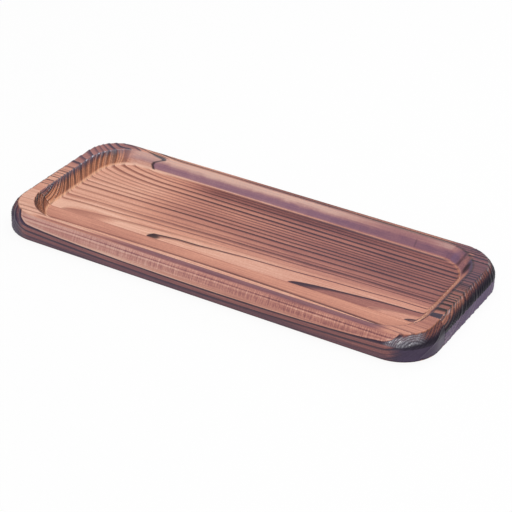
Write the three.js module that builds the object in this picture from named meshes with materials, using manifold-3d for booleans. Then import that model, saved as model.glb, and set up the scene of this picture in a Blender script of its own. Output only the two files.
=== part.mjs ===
// Condiment tray: a long, low tray of charred and brushed cedar. Its blank is glued up edge to edge
// from a wide back board and a narrow front board, and the hollow is cut into both of them.
// It stands on four rubber feet that are screwed into bored seats in its underside.
// Millimetres, +Z up. X runs along the board and Y across it, towards the back.
// The origin is on the table, under the middle of the tray.

import * as THREE from "three";
import { mergeVertices } from "three/addons/utils/BufferGeometryUtils.js";
import Module from "manifold-3d";

// Blank: the outside of the two glued boards
const BOARD_LENGTH = 360;
const BOARD_WIDTH = 150;
const BOARD_THICKNESS = 20;
const FRONT_BOARD_WIDTH = 40;
const GLUE_LINE = 0.2;
const BOARD_CORNER_RADIUS = 31;
const BASE_BEVEL = 0.4;
const SHOULDER_WIDTH = 4.8;
const SHOULDER_HEIGHT = 7;
const SHOULDER_ROUND = 1.6;
const SHOULDER_BREAK_RUN = 0.53;
const SHOULDER_BREAK_RISE = 0.63;
const RIM_CROWN = 0.9;
const END_RIM_WIDTH = 9.2;
const SIDE_RIM_WIDTH = 5;

// Blank: the hollow that the condiments stand in
const HOLLOW_DEPTH = 9.8;
const WALL_RUN = 8.8;
const COVE_ROUND = 2.2;
const FLOOR_CORNER_RADIUS = 24;

// Feet, their seats in the board and the screws that hold them
const FOOT_STAND = 1.5;
const SEAT_DEPTH = 2.5;
const FOOT_TOP_DIAMETER = 18;
const FOOT_BASE_DIAMETER = 15;
const FOOT_EDGE_ROUND = 0.5;
const FOOT_END_INSET = 48;
const FOOT_SIDE_INSET = 26;
const SCREW_DIAMETER = 3;
const SCREW_TIP_LENGTH = 2.5;
const SCREW_HEAD_DIAMETER = 6;
const SCREW_HEAD_HEIGHT = 1.75;
const SCREW_HEAD_SINK = 0.5;
const SCREW_COVER = 3;
const DRIVE_WIDTH = 0.9;
const DRIVE_SPAN = 3.6;
const DRIVE_DEPTH = 1;
const CLEARANCE = 0.3;

// Heights and sizes that follow from those above
const TOP_Z = FOOT_STAND + BOARD_THICKNESS;
const FLOOR_Z = TOP_Z - HOLLOW_DEPTH;
const SEAT_Z = FOOT_STAND + SEAT_DEPTH;
const ARRIS_Z = TOP_Z - RIM_CROWN;
const SIDE_TOP_Z = ARRIS_Z - SHOULDER_HEIGHT;
const SEAM_Y = FRONT_BOARD_WIDTH - BOARD_WIDTH / 2;
const RIM_LAND = 0.2 * SIDE_RIM_WIDTH;
const FLOOR_LENGTH = BOARD_LENGTH - 2 * (SHOULDER_WIDTH + END_RIM_WIDTH + WALL_RUN);
const FLOOR_WIDTH = BOARD_WIDTH - 2 * (SHOULDER_WIDTH + SIDE_RIM_WIDTH + WALL_RUN);
const HEAD_SEAT_Z = SCREW_HEAD_SINK + SCREW_HEAD_HEIGHT;
const SCREW_TOP_Z = FLOOR_Z - SCREW_COVER;

// How finely the round stretches are divided
const CORNER_STEPS = 12;
const ROUND_STEPS = 3;
const LATHE_STEPS = 36;
const SCREW_STEPS = 20;

// How far a cutter runs past the face that it opens
const CUT_PAST = 1;

const wasm = await Module();
wasm.setup();

// Closed-mesh geometry as a manifold-3d solid.
function toSolid(geometry) {
  const bare = geometry.clone();
  bare.deleteAttribute("normal");
  bare.deleteAttribute("uv");
  const merged = mergeVertices(bare);
  return new wasm.Manifold(
    new wasm.Mesh({
      numProp: 3,
      vertProperties: new Float32Array(merged.attributes.position.array),
      triVerts: new Uint32Array(merged.index.array),
    }),
  );
}

// A manifold-3d solid as three.js geometry.
function toGeometry(solid) {
  const mesh = solid.getMesh();
  const geometry = new THREE.BufferGeometry();
  geometry.setAttribute("position", new THREE.BufferAttribute(mesh.vertProperties, 3));
  geometry.setIndex(new THREE.BufferAttribute(mesh.triVerts, 1));
  geometry.computeVertexNormals();
  return geometry;
}

// Points counter-clockwise round a rectangle with rounded corners, at one height.
function roundedOutline(length, width, radius, z) {
  const corners = [
    [1, 1],
    [-1, 1],
    [-1, -1],
    [1, -1],
  ];
  return corners.flatMap(([sideX, sideY], quarter) => {
    const start = (quarter * Math.PI) / 2;
    const arc = new THREE.EllipseCurve(
      sideX * (length / 2 - radius),
      sideY * (width / 2 - radius),
      radius,
      radius,
      start,
      start + Math.PI / 2,
    );
    return arc.getPoints(CORNER_STEPS).map((p) => new THREE.Vector3(p.x, p.y, z));
  });
}

// Points along a section whose inner corners [offset, z, round] are softened by a curve that
// starts and ends that far from the corner.
function softenedSection(corners) {
  const points = corners.map(([offset, z]) => new THREE.Vector2(offset, z));
  const path = new THREE.Path();
  path.moveTo(points[0].x, points[0].y);
  for (let i = 1; i < points.length - 1; i++) {
    const round = corners[i][2] ?? 0;
    const before = points[i - 1].clone().sub(points[i]).setLength(round).add(points[i]);
    const after = points[i + 1].clone().sub(points[i]).setLength(round).add(points[i]);
    path.lineTo(before.x, before.y);
    if (round > 0) path.quadraticCurveTo(points[i].x, points[i].y, after.x, after.y);
  }
  const last = points[points.length - 1];
  path.lineTo(last.x, last.y);
  return path.getPoints(ROUND_STEPS);
}

// A closed solid through a stack of outlines, with its first and last outline filled in.
function loft(outlines) {
  const count = outlines[0].length;
  const indices = [];
  for (let ring = 0; ring < outlines.length - 1; ring++) {
    for (let i = 0; i < count; i++) {
      const next = (i + 1) % count;
      const low = ring * count;
      const high = low + count;
      indices.push(low + i, low + next, high + next, low + i, high + next, high + i);
    }
  }
  const lastRing = (outlines.length - 1) * count;
  const flat = (outline) => outline.map((p) => new THREE.Vector2(p.x, p.y));
  for (const [a, b, c] of THREE.ShapeUtils.triangulateShape(flat(outlines[0]), [])) indices.push(a, c, b);
  for (const [a, b, c] of THREE.ShapeUtils.triangulateShape(flat(outlines.at(-1)), [])) {
    indices.push(lastRing + a, lastRing + b, lastRing + c);
  }
  const geometry = new THREE.BufferGeometry().setFromPoints(outlines.flat());
  geometry.setIndex(indices);
  return geometry;
}

// A turned solid about the Z axis, from a profile of [radius, z] that starts and ends on the axis.
function turned(profile, steps) {
  const points = profile.map(([radius, z]) => new THREE.Vector2(radius, z));
  return new THREE.LatheGeometry(points, steps).rotateX(Math.PI / 2);
}

// Where the axes of the four feet meet the table, with the name of each corner.
function footPlaces() {
  const x = BOARD_LENGTH / 2 - FOOT_END_INSET;
  const y = BOARD_WIDTH / 2 - FOOT_SIDE_INSET;
  return [
    { corner: "front_left", x: -x, y: -y },
    { corner: "front_right", x, y: -y },
    { corner: "back_right", x, y },
    { corner: "back_left", x: -x, y },
  ];
}

// The bored seat for one foot, with the pilot hole for its screw.
function seatCutter() {
  const seatRadius = FOOT_TOP_DIAMETER / 2 + CLEARANCE;
  const pilotRadius = SCREW_DIAMETER / 2 + CLEARANCE;
  return turned(
    [
      [0, FOOT_STAND - CUT_PAST],
      [seatRadius, FOOT_STAND - CUT_PAST],
      [seatRadius, SEAT_Z],
      [pilotRadius, SEAT_Z],
      [pilotRadius, SCREW_TOP_Z],
      [0, SCREW_TOP_Z],
    ],
    LATHE_STEPS,
  );
}

// The carved blank: the outside from its broken lower edge and up the shoulder's two facets to
// the rim, then the hollow from the rim down to the floor, and the four foot seats underneath.
function carvedBlank() {
  const outside = softenedSection([
    [BASE_BEVEL, FOOT_STAND],
    [0, FOOT_STAND + BASE_BEVEL],
    [0, SIDE_TOP_Z, SHOULDER_ROUND],
    [SHOULDER_BREAK_RUN * SHOULDER_WIDTH, SIDE_TOP_Z + SHOULDER_BREAK_RISE * SHOULDER_HEIGHT],
    [SHOULDER_WIDTH, ARRIS_Z, RIM_LAND / 2],
    [SHOULDER_WIDTH + RIM_LAND, TOP_Z],
  ]);
  const hollow = softenedSection([
    [WALL_RUN + RIM_LAND, TOP_Z],
    [WALL_RUN, TOP_Z, RIM_LAND],
    [0, FLOOR_Z, COVE_ROUND],
    [-COVE_ROUND, FLOOR_Z],
  ]);
  const outlines = [
    ...outside.map(({ x: inset, y: z }) =>
      roundedOutline(BOARD_LENGTH - 2 * inset, BOARD_WIDTH - 2 * inset, BOARD_CORNER_RADIUS - inset, z),
    ),
    ...hollow.map(({ x: outset, y: z }) =>
      roundedOutline(FLOOR_LENGTH + 2 * outset, FLOOR_WIDTH + 2 * outset, FLOOR_CORNER_RADIUS + outset, z),
    ),
  ];
  let blank = toSolid(loft(outlines));
  for (const { x, y } of footPlaces()) blank = blank.subtract(toSolid(seatCutter().translate(x, y, 0)));
  return blank;
}

// The part of the blank between two Y positions: one of the glued boards.
function boardBetween(blank, frontY, backY) {
  const reach = BOARD_LENGTH + 2 * CUT_PAST;
  const depth = backY - frontY;
  const slab = new THREE.BoxGeometry(reach, depth, reach).translate(0, frontY + depth / 2, 0);
  return toGeometry(blank.intersect(toSolid(slab)));
}

// One rubber foot: a tapered pad with a stepped hole that the screw head is sunk in.
function rubberFoot() {
  const topRadius = FOOT_TOP_DIAMETER / 2;
  const baseRadius = FOOT_BASE_DIAMETER / 2;
  const headRadius = SCREW_HEAD_DIAMETER / 2 + CLEARANCE;
  const boreRadius = SCREW_DIAMETER / 2 + CLEARANCE;
  const round = new THREE.QuadraticBezierCurve(
    new THREE.Vector2(baseRadius - FOOT_EDGE_ROUND, 0),
    new THREE.Vector2(baseRadius, 0),
    new THREE.Vector2(baseRadius, FOOT_EDGE_ROUND),
  ).getPoints(ROUND_STEPS);
  const ring = [
    [headRadius, 0],
    ...round.map((p) => [p.x, p.y]),
    [topRadius, FOOT_STAND],
    [topRadius, SEAT_Z],
    [boreRadius, SEAT_Z],
    [boreRadius, HEAD_SEAT_Z],
    [headRadius, HEAD_SEAT_Z],
    [headRadius, 0],
  ];
  return turned(ring, LATHE_STEPS);
}

// One wood screw, point upwards, with a cross drive sunk in its head.
function footScrew() {
  const headRadius = SCREW_HEAD_DIAMETER / 2;
  const shankRadius = SCREW_DIAMETER / 2;
  const tipZ = SCREW_TOP_Z - CLEARANCE;
  const body = turned(
    [
      [0, SCREW_HEAD_SINK],
      [0.8 * headRadius, SCREW_HEAD_SINK],
      [headRadius, SCREW_HEAD_SINK + 0.4 * SCREW_HEAD_HEIGHT],
      [headRadius, HEAD_SEAT_Z],
      [shankRadius, HEAD_SEAT_Z],
      [shankRadius, tipZ - SCREW_TIP_LENGTH],
      [0, tipZ],
    ],
    SCREW_STEPS,
  );
  const slotHeight = DRIVE_DEPTH + CUT_PAST;
  const slotZ = SCREW_HEAD_SINK + DRIVE_DEPTH - slotHeight / 2;
  const alongX = new THREE.BoxGeometry(DRIVE_SPAN, DRIVE_WIDTH, slotHeight).translate(0, 0, slotZ);
  const alongY = new THREE.BoxGeometry(DRIVE_WIDTH, DRIVE_SPAN, slotHeight).translate(0, 0, slotZ);
  const drive = toSolid(alongX).add(toSolid(alongY));
  return toGeometry(toSolid(body).subtract(drive));
}

const CHARRED_CEDAR = new THREE.MeshStandardMaterial({ color: 0xb07a5c, roughness: 0.5, metalness: 0 });
const BLACK_RUBBER = new THREE.MeshStandardMaterial({ color: 0x26211f, roughness: 0.85, metalness: 0 });
const STAINLESS_STEEL = new THREE.MeshStandardMaterial({ color: 0xb9bbbd, roughness: 0.35, metalness: 1 });

function namedMesh(name, geometry, material) {
  const mesh = new THREE.Mesh(geometry, material);
  mesh.name = name;
  return mesh;
}

const tray = new THREE.Group();
const blank = carvedBlank();
const edgeY = BOARD_WIDTH / 2 + CUT_PAST;
tray.add(namedMesh("back_board", boardBetween(blank, SEAM_Y + GLUE_LINE / 2, edgeY), CHARRED_CEDAR));
tray.add(namedMesh("front_board", boardBetween(blank, -edgeY, SEAM_Y - GLUE_LINE / 2), CHARRED_CEDAR));
for (const { corner, x, y } of footPlaces()) {
  const place = new THREE.Group();
  place.position.set(x, y, 0);
  place.add(namedMesh(`foot_${corner}`, rubberFoot(), BLACK_RUBBER));
  place.add(namedMesh(`foot_screw_${corner}`, footScrew(), STAINLESS_STEEL));
  tray.add(place);
}

export default tray;
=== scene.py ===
"""Dresses a condiment tray: two charred and brushed cedar boards on four screwed rubber feet.

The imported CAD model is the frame. The two boards are modelled again with their brushed growth rings, and
the feet and screws keep their CAD meshes. The growth rings are worked out once, in millimetres, and used
twice: on arrays to raise the ridges of the mesh, and on shader sockets to paint the same rings.
"""

import logging
import math
from dataclasses import astuple, dataclass
from enum import Enum
from functools import cached_property
from itertools import accumulate
from typing import Any, Mapping, Sequence

import bmesh
import bpy
import numpy as np
from mathutils import Matrix, Vector


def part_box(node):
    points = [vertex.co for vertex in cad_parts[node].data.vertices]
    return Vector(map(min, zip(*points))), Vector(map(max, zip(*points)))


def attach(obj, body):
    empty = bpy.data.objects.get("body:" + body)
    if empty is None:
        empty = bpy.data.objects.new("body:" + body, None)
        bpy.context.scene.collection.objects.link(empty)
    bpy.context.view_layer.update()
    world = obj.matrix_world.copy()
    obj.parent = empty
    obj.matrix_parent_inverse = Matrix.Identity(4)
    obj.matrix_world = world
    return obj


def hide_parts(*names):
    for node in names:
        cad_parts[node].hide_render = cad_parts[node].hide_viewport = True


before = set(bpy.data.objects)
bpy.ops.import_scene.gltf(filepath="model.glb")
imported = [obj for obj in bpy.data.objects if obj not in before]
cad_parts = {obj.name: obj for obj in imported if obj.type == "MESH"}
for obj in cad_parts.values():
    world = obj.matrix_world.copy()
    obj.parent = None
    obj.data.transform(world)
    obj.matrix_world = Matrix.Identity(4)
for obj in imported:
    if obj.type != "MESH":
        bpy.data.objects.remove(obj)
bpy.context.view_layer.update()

LOG = logging.getLogger("tray")
MM = 0.001
BODY = "root"

SECTION_LAYER = "section"
END_GRAIN_LAYER = "end_grain"
SMOOTH_LAYER = "smooth_place"
CURVE_STEPS = 51
NOISE_ROUGHNESS = 0.55
WHITE = (1, 1, 1, 1)

Colour = tuple[int, int, int]
Span = tuple[float, float]
Triple = tuple[float, float, float]
Points = Sequence[Span]
Stops = Sequence[tuple[float, Colour]]
Seat = tuple[float, float, float, float]


def linear(colour: Colour) -> tuple[float, float, float, float]:
    """Turns a colour as it looks on a screen into the light values that a shader uses.

    Args:
        colour: red, green and blue from 0 to 255.

    Returns:
        The same colour as linear red, green, blue and an alpha of 1.
    """
    shares = [channel / 255 for channel in colour]
    lights = [s / 12.92 if s <= 0.04045 else ((s + 0.055) / 1.055) ** 2.4 for s in shares]
    return lights[0], lights[1], lights[2], 1


def blend(first: Any, second: Any, share: Any) -> Any:
    """The first value where the share is 0, the second where it is 1, and a mix in between."""
    return first + (second - first) * share


class ArrayMaths:
    """The grain's sums on numpy arrays."""

    def root(self, value: np.ndarray) -> np.ndarray:
        """Square root."""
        return np.sqrt(value)

    def larger(self, value: np.ndarray, other: float) -> np.ndarray:
        """The larger of two values."""
        return np.maximum(value, other)

    def ease(self, start: float, end: float, value: np.ndarray) -> np.ndarray:
        """A smooth step from 0 at the start to 1 at the end, which may be the smaller of the two."""
        share = np.clip((value - start) / (end - start), 0, 1)
        return share * share * (3 - 2 * share)

    def sine(self, value: np.ndarray) -> np.ndarray:
        """Sine of an angle in radians."""
        return np.sin(value)

    def whole(self, value: np.ndarray) -> np.ndarray:
        """The whole part of a value."""
        return np.floor(value)

    def along(self, value: np.ndarray, points: Points) -> np.ndarray:
        """The height of a line drawn through points, at a value."""
        return np.interp(value, [p[0] for p in points], [p[1] for p in points])

    def pick(self, number: np.ndarray, values: Sequence[float]) -> np.ndarray:
        """The value that a whole number picks from a list."""
        return np.interp(number, range(len(values)), values)


class Value:
    """A number socket that can stand in a sum: each sum adds a Math node to the paint it belongs to."""

    def __init__(self, paint: "Paint", socket: bpy.types.NodeSocket) -> None:
        """Keeps the socket and its paint."""
        self.paint = paint
        self.socket = socket

    def __add__(self, other: "Value | float") -> "Value":
        """Adds."""
        return self.paint.sum("ADD", self, other)

    def __radd__(self, other: float) -> "Value":
        """Adds, with the number first."""
        return self.paint.sum("ADD", other, self)

    def __sub__(self, other: "Value | float") -> "Value":
        """Takes away."""
        return self.paint.sum("SUBTRACT", self, other)

    def __rsub__(self, other: float) -> "Value":
        """Takes away from a number."""
        return self.paint.sum("SUBTRACT", other, self)

    def __mul__(self, other: "Value | float") -> "Value":
        """Multiplies."""
        return self.paint.sum("MULTIPLY", self, other)

    def __rmul__(self, other: float) -> "Value":
        """Multiplies, with the number first."""
        return self.paint.sum("MULTIPLY", other, self)

    def __truediv__(self, other: "Value | float") -> "Value":
        """Divides."""
        return self.paint.sum("DIVIDE", self, other)

    def __rtruediv__(self, other: float) -> "Value":
        """Divides a number."""
        return self.paint.sum("DIVIDE", other, self)

    def __abs__(self) -> "Value":
        """Drops the sign."""
        return self.paint.sum("ABSOLUTE", self, 0)


class Paint:
    """The node tree of one material, with the grain's sums on its sockets."""

    def __init__(self, name: str) -> None:
        """Starts an empty material.

        Args:
            name: the material's name.
        """
        self.material = bpy.data.materials.new(name)
        self.material.use_nodes = True
        self.tree = self.material.node_tree
        self.tree.nodes.clear()

    def node(
        self,
        kind: str,
        settings: Mapping[str, Any] | None = None,
        sockets: Mapping[Any, Any] | None = None,
    ) -> bpy.types.Node:
        """Adds a node.

        Args:
            kind: the node's type.
            settings: its properties, with stops for a ramp and points for a curve, set before its sockets.
            sockets: a number, colour, Value or output socket for each input, by name or place.

        Returns:
            The new node.
        """
        node = self.tree.nodes.new(kind)
        for key, setting in (settings or {}).items():
            if key == "stops":
                self._set_stops(node.color_ramp, setting)
            elif key == "points":
                self._set_points(node.mapping, setting)
            else:
                setattr(node, key, setting)
        for key, feed in (sockets or {}).items():
            if isinstance(feed, Value):
                self.tree.links.new(feed.socket, node.inputs[key])
            elif isinstance(feed, bpy.types.NodeSocket):
                self.tree.links.new(feed, node.inputs[key])
            else:
                node.inputs[key].default_value = feed
        return node

    def _set_stops(self, ramp: bpy.types.ColorRamp, stops: Stops) -> None:
        """Sets a colour ramp.

        Args:
            ramp: the ramp.
            stops: places from 0 to 1, each with its colour.
        """
        while len(ramp.elements) > 1:
            ramp.elements.remove(ramp.elements[-1])
        ramp.elements[0].position = stops[0][0]
        ramp.elements[0].color = linear(stops[0][1])
        for place, colour in stops[1:]:
            ramp.elements.new(place).color = linear(colour)

    def _set_points(self, mapping: bpy.types.CurveMapping, points: Points) -> None:
        """Draws a curve of straight runs.

        Args:
            mapping: the curve's mapping.
            points: places and heights from 0 to 1, in order.
        """
        curve = mapping.curves[0]
        curve.points[0].location = points[0]
        curve.points[1].location = points[-1]
        for point in points[1:-1]:
            curve.points.new(point[0], point[1])
        for point in curve.points:
            point.handle_type = "VECTOR"
        mapping.update()

    def sum(self, operation: str, first: Value | float, second: Value | float) -> Value:
        """Adds a Math node and gives its result."""
        node = self.node("ShaderNodeMath", {"operation": operation}, {0: first, 1: second})
        return Value(self, node.outputs[0])

    def root(self, value: Value) -> Value:
        """Square root."""
        return self.sum("SQRT", value, 0)

    def larger(self, value: Value, other: float) -> Value:
        """The larger of two values."""
        return self.sum("MAXIMUM", value, other)

    def smaller(self, value: Value, other: float) -> Value:
        """The smaller of two values."""
        return self.sum("MINIMUM", value, other)

    def _range(self, kind: str, sockets: Mapping[str, Any]) -> Value:
        """Adds a Map Range node."""
        node = self.node("ShaderNodeMapRange", {"interpolation_type": kind}, sockets)
        return Value(self, node.outputs["Result"])

    def ease(self, start: float, end: float, value: Value) -> Value:
        """A smooth step from 0 at the start to 1 at the end, which may be the smaller of the two."""
        return self._range("SMOOTHSTEP", {"Value": value, "From Min": start, "From Max": end})

    def sine(self, value: Value) -> Value:
        """Sine of an angle in radians."""
        return self.sum("SINE", value, 0)

    def whole(self, value: Value) -> Value:
        """The whole part of a value."""
        return self.sum("FLOOR", value, 0)

    def along(self, value: Value, points: Points) -> Value:
        """The height of a line drawn through points, at a value.

        Args:
            value: where to look.
            points: places and heights, in order.

        Returns:
            The line's height there.
        """
        height: Value | float = points[0][1]
        for before, after in zip(points, points[1:]):
            sockets = {"Value": value, "From Min": before[0], "From Max": after[0]}
            sockets["To Max"] = after[1] - before[1]
            height = self._range("LINEAR", sockets) + height
        return height

    def pick(self, number: Value, values: Sequence[float]) -> Value:
        """The value that a whole number picks from a list.

        Args:
            number: the place in the list, from 0.
            values: the list, with no number below 0.

        Returns:
            The value there.
        """
        top = max(values) or 1
        filled = [*values, *[values[-1]] * (CURVE_STEPS + 1 - len(values))]
        drawn = [(step / CURVE_STEPS, height / top) for step, height in enumerate(filled)]
        node = self.node("ShaderNodeFloatCurve", {"points": drawn}, {"Value": number / CURVE_STEPS})
        return Value(self, node.outputs[0]) * top

    def mix(self, share: Value | float, first: Any, second: Any) -> bpy.types.NodeSocket:
        """Mixes two colours: the share of the second is from 0 to 1."""
        settings = {"data_type": "RGBA", "clamp_factor": True}
        return self.node("ShaderNodeMix", settings, {0: share, 6: first, 7: second}).outputs[2]

    def ramp(self, place: Value, stops: Stops) -> bpy.types.NodeSocket:
        """The colour at a place of a ramp, from 0 to 1."""
        return self.node("ShaderNodeValToRGB", {"stops": stops}, {"Fac": place}).outputs["Color"]

    def place_mm(self, layer: str = "") -> tuple[bpy.types.NodeSocket, Value, Value, Value]:
        """The place on the object, in millimetres.

        Args:
            layer: a layer of the mesh that holds places, or nothing for the object's own coordinates.

        Returns:
            The place as a vector socket, and its three coordinates.
        """
        if layer:
            coordinates = self.node("ShaderNodeAttribute", {"attribute_name": layer}).outputs["Vector"]
        else:
            coordinates = self.node("ShaderNodeTexCoord").outputs["Object"]
        scaled = self.node("ShaderNodeVectorMath", {"operation": "SCALE"}, {0: coordinates, "Scale": 1 / MM})
        split = self.node("ShaderNodeSeparateXYZ", None, {0: scaled.outputs[0]})
        axes = [Value(self, output) for output in split.outputs]
        return scaled.outputs[0], axes[0], axes[1], axes[2]

    def layer(self, name: str) -> Value:
        """A number that the mesh holds at each point."""
        return Value(self, self.node("ShaderNodeAttribute", {"attribute_name": name}).outputs["Fac"])

    def noise(
        self,
        place: bpy.types.NodeSocket,
        grain_mm: Triple,
        detail: float = 2,
        offset: Triple = (0, 0, 0),
    ) -> Value:
        """Cloudy noise with a grain of its own length on each axis.

        Args:
            place: the place in millimetres.
            grain_mm: the size of the noise along x, y and z.
            detail: how many finer layers it has.
            offset: a shift, in grains, that gives another part of the noise.

        Returns:
            The noise, from about 0 to 1.
        """
        scale = tuple(1 / size for size in grain_mm)
        mapped = self.node("ShaderNodeMapping", None, {"Vector": place, "Scale": scale, "Location": offset})
        sockets = {"Vector": mapped.outputs[0], "Scale": 1, "Detail": detail, "Roughness": NOISE_ROUGHNESS}
        return Value(self, self.node("ShaderNodeTexNoise", None, sockets).outputs[0])

    def finish(self, sockets: Mapping[str, Any]) -> bpy.types.Material:
        """Adds the surface shader.

        Args:
            sockets: what the Principled shader's inputs take.

        Returns:
            The finished material.
        """
        shader = self.node("ShaderNodeBsdfPrincipled", None, sockets)
        self.node("ShaderNodeOutputMaterial", None, {"Surface": shader.outputs[0]})
        return self.material

    def bump(self, height: Value, distance: float, strength: float) -> bpy.types.NodeSocket:
        """A normal that follows a height, whose 0 and 1 lie a distance in metres apart."""
        sockets = {"Height": height, "Distance": distance, "Strength": strength}
        return self.node("ShaderNodeBump", None, sockets).outputs[0]


# What the grain's sums work on: arrays for the mesh, or sockets for the paint
Maths = ArrayMaths | Paint


@dataclass(frozen=True)
class Ring:
    """One growth ring: its width and late wood in millimetres, and how dark and brown it is."""

    width: float
    late: float
    left: float
    right: float
    brown: float = 0


@dataclass(frozen=True)
class Wood:
    """The wood at a point: its distance from the pith, its late wood, and its ring's dark and brown."""

    radius: Any
    late: Any
    dark: Any
    brown: Any


class Grain:
    """The growth rings that run through one board. Lengths are in millimetres, heights from its underside."""

    first_edge: float
    rings: Sequence[Ring]
    line_edge: float = 0.03
    turn: Span = (-130, 60)
    waves: Sequence[Triple] = ((21, 17, 0.05), (8.3, -9, 0.03))

    def radius(self, maths: Maths, x: Any, y: Any, height: Any) -> Any:
        """Distance of a point from the pith."""
        raise NotImplementedError

    def wander(self, maths: Maths, x: Any, y: Any) -> Any:
        """The small waves of a ring along the board, calm near the seam and the back rim."""
        total = sum(maths.sine(x / along + y / across) * size for along, across, size in self.waves)
        return total * maths.ease(58, 48, y) * maths.ease(-34, -15, y)

    def wood(self, maths: Maths, x: Any, y: Any, height: Any) -> Wood:
        """Where a point lies in its ring.

        Args:
            maths: the sums to use.
            x: place along the board.
            y: place across it.
            height: place above its underside.

        Returns:
            The wood there. Its late wood grows from 0 to 1 at the sharp line that ends the ring.
        """
        widths, lates, lefts, rights, browns = zip(*map(astuple, self.rings))
        edges = accumulate(widths, initial=self.first_edge)
        radius = self.radius(maths, x, y, height) + self.wander(maths, x, y)
        number = maths.along(radius, [(edge, float(count)) for count, edge in enumerate(edges)])
        ring = maths.whole(number)
        inward = (ring + 1 - number) * maths.pick(ring, widths)
        late = maths.larger(1 - inward / maths.pick(ring, lates), 0)
        line = maths.ease(0, self.line_edge, inward)
        turn = maths.ease(*self.turn, x)
        dark = blend(maths.pick(ring, lefts), maths.pick(ring, rights), turn)
        return Wood(radius, late * line, dark, maths.pick(ring, browns) * blend(0.5, 1, turn))


class BackGrain(Grain):
    """The wide board: its pith lies above the seam and sinks to the right, so rings end in tongues."""

    pith_y = -34.5
    pith_height = 93.2
    pith_fall = 0.0127
    floor_height = 10.2
    rim_height = 19.5
    end_lean = 0.5
    blunt_tip = 0.18
    fan = 0.015
    rim_fan = 0.0049
    sweep_start = -96
    sweep = 0.004
    first_edge = 69
    rings = (
        Ring(2.25, 1.2, 0.3, 1),
        Ring(1.05, 0.8, 0.3, 0.9),
        Ring(1.6, 0.8, 0.3, 0.85),
        Ring(1.5, 0.8, 0.3, 0.85),
        Ring(1.1, 0.6, 0.3, 0.8),
        Ring(1.1, 0.6, 0.4, 0.8),
        Ring(1.7, 0.8, 0.4, 0.8),
        Ring(1.84, 0.16, 0.5, 0.9),
        Ring(0.36, 0.16, 0.15, 0.25, 0.1),
        Ring(0.82, 0.32, 0.5, 1, 0.38),
        Ring(1.55, 0.3, 1, 0.8, 0.04),
        Ring(1.01, 0.55, 0.2, 0.1, 0.05),
        Ring(1.45, 0.5, 0.4, 0.5, 0.12),
        Ring(1.65, 1.2, 0.3, 0.55, 0.14),
        Ring(1.2, 0.7, 0.1, 0.3, 0.14),
        Ring(2.55, 1.2, 0.25, 0.65, 0.07),
        Ring(3.35, 1.3, 0.6, 0.95, 0.08),
        Ring(2.4, 1.2, 0.3, 0.75, 0.03),
        Ring(2.6, 1.3, 0.4, 0.8, 0.04),
        Ring(2.2, 1.1, 0.2, 0.45, 0.04),
        Ring(2, 1, 0.2, 0.5, 0.03),
        Ring(2.4, 1.2, 0.3, 0.9, 0.01),
        Ring(3.3, 2, 0.6, 1, 0.05),
        Ring(4.1, 2, 0.65, 1, 0.03),
        Ring(3.8, 1.5, 0.45, 0.75, 0.05),
        Ring(2.7, 1.2, 0.2, 0.4, 0.08),
        Ring(2.3, 1.1, 0.3, 0.7, 0.08),
        Ring(2.42, 2.2, 0.5, 0.6),
        Ring(1, 0.4, 0.6, 0.8),
        Ring(0.9, 0.5, 0.6, 0.8),
        Ring(1.7, 0.8, 0.6, 0.8),
        Ring(2.5, 1.2, 0.6, 0.8),
        Ring(3.5, 1.6, 0.6, 0.9),
        Ring(3, 1.4, 0.6, 0.8),
        Ring(3, 1.4, 0.6, 0.8),
    )

    def radius(self, maths: Maths, x: Any, y: Any, height: Any) -> Any:
        """Distance of a point from the pith.

        Args:
            maths: the sums to use.
            x: place along the board.
            y: place across it.
            height: place above its underside.

        Returns:
            The distance.
        """
        fan = maths.ease(5, 45, y) * self.fan - maths.ease(52, 60, y) * self.rim_fan
        past = maths.larger(self.sweep_start - x, 0)
        across = y + x * fan - self.sweep * past * past * maths.ease(5, 70, y) - self.pith_y
        left = maths.ease(-146, -158, x) * maths.ease(0, 8, height) * self.end_lean
        right = maths.ease(173, 178, x) * self.end_lean
        level = height + (self.floor_height - height) * left + (self.rim_height - height) * right
        up = self.pith_height - level - self.pith_fall * x
        blunt = maths.ease(-69, -65, x) * maths.ease(-26, -50, x) * maths.ease(-18, -27, y)
        return maths.root(across * across + up * up) - blunt * self.blunt_tip


class FrontGrain(Grain):
    """The narrow board: its pith lies below it in a slight bow, so the rings show as long lines."""

    pith_y = -20
    pith_height = -40
    bow = 0.000161
    bow_centre = -5
    first_edge = 46
    rings = (
        Ring(11.4, 1.3, 0.25, 0.6),
        Ring(1.3, 0.6, 0.05, 0.05),
        Ring(1.7, 0.6, 0.05, 0.05),
        Ring(1.6, 0.6, 0.15, 0.3),
        Ring(1.9, 0.6, 0.05, 0.05),
        Ring(1.9, 0.6, 0.35, 0.8),
        Ring(2.2, 0.8, 0.2, 0.2),
        Ring(3, 1.4, 0.6, 0.7),
        Ring(2.7, 1.15, 1, 1),
        Ring(3.2, 0.7, 0.4, 0.55),
        Ring(2.6, 0.8, 0.3, 0.3),
        Ring(3.5, 1.5, 0.6, 0.6),
    )

    def radius(self, maths: Maths, x: Any, y: Any, height: Any) -> Any:
        """Distance of a point from the pith.

        Args:
            maths: the sums to use.
            x: place along the board.
            y: place across it.
            height: place above its underside.

        Returns:
            The distance.
        """
        along = x - self.bow_centre
        across = y - self.pith_y + self.bow * along * along
        up = height - self.pith_height
        return maths.root(across * across + up * up)


class Part(Enum):
    """The parts of the tray's section, from its underside round to its floor, by where each one ends."""

    UNDERSIDE = 1
    SIDE = 2
    SHOULDER = 3
    RIM = 4
    WALL = 5
    FLOOR = 6


@dataclass(frozen=True)
class Station:
    """One outline of the tray, in metres: how far in from the outside or out from the floor, and how high."""

    inset: float
    outset: float
    hollow: float
    height: float
    section: float


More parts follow.
